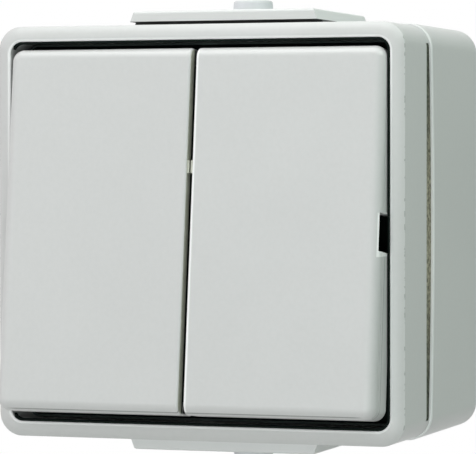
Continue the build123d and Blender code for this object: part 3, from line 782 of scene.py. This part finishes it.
def toggle_nylon():
    """Natural moulded nylon: a warm milky white with soft cloudy patches."""
    material, tree, place = start_material("natural_nylon_toggle")
    cloud = add_node(
        tree, "TexNoise",
        values={"Scale": per_mm(5.0), "Detail": 3.0},
        links={"Vector": place},
    )
    colour = add_node(
        tree, "Mix", {"data_type": "RGBA"},
        values={MIX_FIRST: to_linear("#D5D0C0"), MIX_SECOND: to_linear("#E4E0D3")},
        links={MIX_SHARE: cloud.outputs["Fac"]},
    )
    worn_gloss = add_node(
        tree, "MapRange",
        values=roughness_between(0.38, 0.5),
        links={"Value": cloud.outputs["Fac"]},
    )
    close_material(
        tree,
        values={"IOR": 1.53},
        links={"Base Color": colour.outputs[MIX_COLOUR], "Roughness": worn_gloss.outputs["Result"]},
    )
    return material


def zinc_plated_steel(name, spangle_mm, roughness):
    """Zinc-plated mild steel: a cool grey metal with a mottled, faintly yellow passivated skin."""
    material, tree, place = start_material(name)
    spangle = add_node(
        tree, "TexVoronoi", {"feature": "SMOOTH_F1"},
        values={"Scale": per_mm(spangle_mm), "Smoothness": 0.6},
        links={"Vector": place},
    )
    passivation = add_node(
        tree, "TexNoise",
        values={"Scale": per_mm(6.0), "Detail": 4.0},
        links={"Vector": place},
    )
    colour = add_node(
        tree, "Mix", {"data_type": "RGBA"},
        values={MIX_FIRST: to_linear("#B4B7B8"), MIX_SECOND: to_linear("#C9C6B8")},
        links={MIX_SHARE: passivation.outputs["Fac"]},
    )
    worn_gloss = add_node(
        tree, "MapRange",
        values={"From Min": 0.0, "From Max": 0.8, "To Min": roughness - 0.06, "To Max": roughness + 0.10},
        links={"Value": spangle.outputs["Distance"]},
    )
    close_material(
        tree,
        values={"Metallic": 1.0},
        links={"Base Color": colour.outputs[MIX_COLOUR], "Roughness": worn_gloss.outputs["Result"]},
    )
    return material


def drawn_steel_wire():
    """Bright drawn steel: fine die lines along the pin and the spring wire stretch its highlights."""
    material, tree, place = start_material("drawn_steel_wire")
    # Die lines are finer than this, and drawn this wide to show
    along = add_node(
        tree, "Mapping",
        values={"Scale": (per_mm(12.0), per_mm(0.15), per_mm(0.15))},
        links={"Vector": place},
    )
    lines = add_node(
        tree, "TexNoise",
        values={"Scale": 1.0, "Detail": 2.0},
        links={"Vector": along.outputs["Vector"]},
    )
    colour = add_node(
        tree, "Mix", {"data_type": "RGBA"},
        values={MIX_FIRST: to_linear("#A4A5A5"), MIX_SECOND: to_linear("#C6C7C6")},
        links={MIX_SHARE: lines.outputs["Fac"]},
    )
    worn_gloss = add_node(
        tree, "MapRange",
        values=roughness_between(0.22, 0.36),
        links={"Value": lines.outputs["Fac"]},
    )
    close_material(
        tree,
        values={"Metallic": 1.0},
        links={"Base Color": colour.outputs[MIX_COLOUR], "Roughness": worn_gloss.outputs["Result"]},
    )
    return material


def stamped_brass():
    """Stamped brass strip: warm yellow metal with rolling lines and a few brown tarnish clouds."""
    material, tree, place = start_material("stamped_brass_strip")
    along = add_node(
        tree, "Mapping",
        values={"Scale": (per_mm(0.25), per_mm(0.25), per_mm(8.0))},
        links={"Vector": place},
    )
    rolling = add_node(
        tree, "TexNoise",
        values={"Scale": 1.0, "Detail": 2.0},
        links={"Vector": along.outputs["Vector"]},
    )
    tarnish = add_node(
        tree, "TexNoise",
        values={"Scale": per_mm(4.0), "Detail": 5.0, "Roughness": 0.65},
        links={"Vector": place},
    )
    stain = add_node(
        tree, "MapRange",
        values={"From Min": 0.5, "From Max": 0.75, "To Min": 0.0, "To Max": 0.7},
        links={"Value": tarnish.outputs["Fac"]},
    )
    colour = add_node(
        tree, "Mix", {"data_type": "RGBA"},
        values={MIX_FIRST: to_linear("#D9B66E"), MIX_SECOND: to_linear("#9A7238")},
        links={MIX_SHARE: stain.outputs["Result"]},
    )
    worn_gloss = add_node(
        tree, "MapRange",
        values=roughness_between(0.24, 0.40),
        links={"Value": rolling.outputs["Fac"]},
    )
    close_material(
        tree,
        values={"Metallic": 1.0},
        links={"Base Color": colour.outputs[MIX_COLOUR], "Roughness": worn_gloss.outputs["Result"]},
    )
    return material


def fit_shade_wiper():
    """Line the opening just behind its edge with a thin near-black wiper, which narrows the gap to the rockers
    and stands in for the shade deep in it.
    """
    ring = bmesh.new()
    bmesh.ops.create_grid(ring, x_segments=1, y_segments=1, size=1.0)
    half_width, half_height = WIPER_HALF_MM
    bmesh.ops.scale(ring, verts=ring.verts, vec=(half_width * MM, half_height * MM, 1.0))
    bmesh.ops.bevel(
        ring, geom=ring.verts[:], affect="VERTICES", offset=OPENING_CORNER_MM * MM,
        segments=WIPER_CORNER_STEPS, profile=0.5, material=-1,
    )
    bmesh.ops.inset_region(
        ring, faces=ring.faces[:], thickness=WIPER_REACH_MM * MM, use_boundary=True, use_even_offset=True,
    )
    middle = max(ring.faces, key=lambda face: face.calc_area())
    bmesh.ops.delete(ring, geom=[middle], context="FACES_ONLY")
    swept = bmesh.ops.extrude_face_region(ring, geom=ring.faces[:])
    lifted = [part for part in swept["geom"] if isinstance(part, bmesh.types.BMVert)]
    bmesh.ops.translate(ring, verts=lifted, vec=(0, 0, WIPER_DEPTH_MM * MM))
    bmesh.ops.recalc_face_normals(ring, faces=ring.faces[:])
    sharp = [edge for edge in ring.edges if edge.calc_face_angle(0.0) > radians(SHARP_ANGLE)]
    bmesh.ops.bevel(
        ring, geom=sharp, affect="EDGES", offset=WIPER_ROUND_MM * MM, segments=2, profile=0.5, material=-1,
    )
    # It runs along the top, the right and the bottom, and ends in the corners on the left
    cut = bmesh.ops.bisect_plane(
        ring, geom=ring.verts[:] + ring.edges[:] + ring.faces[:], dist=CUT_REACH_MM * MM,
        plane_co=(WIPER_END_MM * MM, 0, 0), plane_no=(1, 0, 0), clear_inner=True,
    )
    ends = [part for part in cut["geom_cut"] if isinstance(part, bmesh.types.BMEdge)]
    bmesh.ops.holes_fill(ring, edges=ends, sides=0)
    bmesh.ops.recalc_face_normals(ring, faces=ring.faces[:])
    bmesh.ops.rotate(ring, verts=ring.verts, cent=(0, 0, 0), matrix=Matrix.Rotation(pi / 2, 3, "X"))
    bmesh.ops.translate(ring, verts=ring.verts, vec=(0, WIPER_PLACE_MM * MM, 0))
    mesh = bpy.data.meshes.new("opening_shade_wiper")
    ring.to_mesh(mesh)
    ring.free()
    # Near-black rubber that stands in for the gap's shade
    mesh.materials.append(seal_rubber("epdm_shade_wiper", 0.0))
    shade_wiper = bpy.data.objects.new("opening_shade_wiper", mesh)
    scene.collection.objects.link(shade_wiper)
    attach(shade_wiper, "housing")


def even_shading(node):
    """Join a CAD node's triangles and weigh its normals by area, so flats are flat and rounds are round."""
    joined = node.modifiers.new("join", "WELD")
    joined.merge_threshold = JOIN_MM * MM
    creased = node.modifiers.new("crease", "EDGE_SPLIT")
    creased.use_edge_sharp = False
    creased.split_angle = radians(CREASE_ANGLE)
    weighed = node.modifiers.new("weigh", "WEIGHTED_NORMAL")
    weighed.mode = "FACE_AREA"
    weighed.weight = LARGE_FACE_WEIGHT


def view_rays(tree):
    """Say which rays see the white set: those of the camera, and those that metal and gloss send on."""
    path = add_node(tree, "LightPath")
    seen = add_node(
        tree, "Math", {"operation": "MAXIMUM"},
        links={0: path.outputs["Is Camera Ray"], 1: path.outputs["Is Glossy Ray"]},
    )
    through = add_node(
        tree, "Math", {"operation": "MAXIMUM"},
        links={0: seen.outputs[0], 1: path.outputs["Is Transmission Ray"]},
    )
    return through.outputs[0]


def light_room():
    """Light the set softly, weaker and greener from the right; show it white, but grey behind the camera."""
    world = bpy.data.worlds.new("studio_room")
    world.use_nodes = True
    tree = world.node_tree
    tree.nodes.clear()
    direction = add_node(tree, "SeparateXYZ", links={0: add_node(tree, "TexCoord").outputs["Generated"]})
    to_right = add_node(
        tree, "MapRange",
        values={"From Min": ROOM_RIGHT_SPAN[0], "From Max": ROOM_RIGHT_SPAN[1]},
        links={"Value": direction.outputs["X"]},
    )
    tint = add_node(
        tree, "Mix", {"data_type": "RGBA"},
        values={MIX_FIRST: to_linear(ROOM_LEFT_COLOUR), MIX_SECOND: to_linear(ROOM_RIGHT_COLOUR)},
        links={MIX_SHARE: to_right.outputs["Result"]},
    )
    room = add_node(
        tree, "Background",
        values={"Strength": ROOM_LIGHT},
        links={"Color": tint.outputs[MIX_COLOUR]},
    )
    to_front = add_node(
        tree, "MapRange",
        values={"From Min": ROOM_FRONT_SPAN[0], "From Max": ROOM_FRONT_SPAN[1]},
        links={"Value": direction.outputs["Y"]},
    )
    glossy = add_node(tree, "LightPath").outputs["Is Glossy Ray"]
    behind_camera = add_node(
        tree, "Math", {"operation": "MULTIPLY"},
        links={0: to_front.outputs["Result"], 1: glossy},
    )
    right_side = add_node(
        tree, "Math", {"operation": "MULTIPLY"},
        links={0: to_right.outputs["Result"], 1: glossy},
    )
    side_colour = add_node(
        tree, "Mix", {"data_type": "RGBA"},
        values={MIX_FIRST: to_linear("#FFFFFF"), MIX_SECOND: to_linear(SET_RIGHT_COLOUR)},
        links={MIX_SHARE: right_side.outputs[0]},
    )
    set_colour = add_node(
        tree, "Mix", {"data_type": "RGBA"},
        values={MIX_SECOND: to_linear(ROOM_FRONT_COLOUR)},
        links={MIX_SHARE: behind_camera.outputs[0], MIX_FIRST: side_colour.outputs[MIX_COLOUR]},
    )
    white = add_node(
        tree, "Background",
        values={"Strength": 1.0},
        links={"Color": set_colour.outputs[MIX_COLOUR]},
    )
    shown = add_node(
        tree, "MixShader",
        links={0: view_rays(tree), 1: room.outputs[0], 2: white.outputs[0]},
    )
    add_node(tree, "OutputWorld", links={"Surface": shown.outputs[0]})
    scene.world = world


def lay_floor():
    """Lay a pale round floor under the switch, which shows white and keeps the soft shadow."""
    material, tree, _ = start_material("matt_white_floor")
    pale = add_node(tree, "BsdfDiffuse", values={"Color": to_linear(FLOOR_COLOUR)})
    shadowed = add_node(tree, "BsdfDiffuse", values={"Color": to_linear(FLOOR_SHADOW_COLOUR)})
    glow = add_node(tree, "Emission", values={"Color": to_linear("#FFFFFF"), "Strength": FLOOR_GLOW})
    white = add_node(tree, "AddShader", links={0: shadowed.outputs[0], 1: glow.outputs[0]})
    shown = add_node(
        tree, "MixShader",
        links={0: view_rays(tree), 1: pale.outputs[0], 2: white.outputs[0]},
    )
    add_node(tree, "OutputMaterial", links={"Surface": shown.outputs[0]})
    sheet = bmesh.new()
    bmesh.ops.create_circle(sheet, cap_ends=True, segments=FLOOR_SIDES, radius=FLOOR_RADIUS)
    bmesh.ops.translate(sheet, verts=sheet.verts, vec=(0, 0, cad_box[0].z - FLOOR_DROP_MM * MM))
    mesh = bpy.data.meshes.new("floor")
    sheet.to_mesh(mesh)
    sheet.free()
    mesh.materials.append(material)
    floor = bpy.data.objects.new("floor", mesh)
    scene.collection.objects.link(floor)


def hang_softbox(name, place, size, watts, colour):
    """Hang one softbox that faces the switch."""
    lamp = bpy.data.lights.new(name, "AREA")
    lamp.shape = "RECTANGLE"
    lamp.size, lamp.size_y = size
    lamp.energy = watts
    lamp.color = to_linear(colour)[:3]
    softbox = bpy.data.objects.new(name, lamp)
    softbox.location = place
    softbox.rotation_euler = (LIT_PLACE - Vector(place)).to_track_quat("-Z", "Y").to_euler()
    softbox.visible_camera = False
    scene.collection.objects.link(softbox)


def set_camera():
    """Stand the camera at the photograph's viewpoint."""
    lens = bpy.data.cameras.new("camera")
    lens.lens = LENS_MM
    lens.sensor_width = SENSOR_MM
    camera = bpy.data.objects.new("camera", lens)
    camera.matrix_world = (
        Matrix.Translation(Vector(CAMERA_PLACE_MM) * MM)
        @ Matrix.Rotation(radians(CAMERA_YAW), 4, "Z")
        @ Matrix.Rotation(pi / 2 - radians(CAMERA_DOWN), 4, "X")
        @ Matrix.Rotation(radians(CAMERA_ROLL), 4, "Z")
    )
    scene.collection.objects.link(camera)
    scene.camera = camera


set_camera()
light_room()
lay_floor()
for softbox in SOFTBOXES:
    hang_softbox(*softbox)

finishes = {
    "case_plastic": moulded_abs("satin_abs_cover", *CASE_FINISH, opening_edge),
    "rocker_plastic": moulded_abs("satin_abs_rocker", *ROCKER_FINISH, rocker_edges),
    "entry_plastic": entry_elastomer(),
    "gasket_foam": gasket_foam(),
    "seal_rubber": seal_rubber("moulded_epdm_seal", 0.7),
    "socket_plastic": socket_thermoset(),
    "toggle_plastic": toggle_nylon(),
    "plate_steel": zinc_plated_steel("zinc_plated_sheet", 1.2, 0.34),
    "screw_steel": zinc_plated_steel("zinc_plated_screw", 0.6, 0.28),
    "pin_steel": drawn_steel_wire(),
    "contact_brass": stamped_brass(),
}
for subpart in frame["record"]["subparts"]:
    node = frame["nodes"][subpart["node"]]
    node.material_slots[0].material = finishes[subpart["material_slot"]]
    even_shading(node)
# The box is the cover's plastic with its own painted highlight along the lip
box_finish = moulded_abs("satin_abs_box", *CASE_FINISH, paint_lip_highlight)
frame["nodes"]["back_box"].material_slots[0].material = box_finish

fit_shade_wiper()

scene.view_settings.view_transform = "Standard"
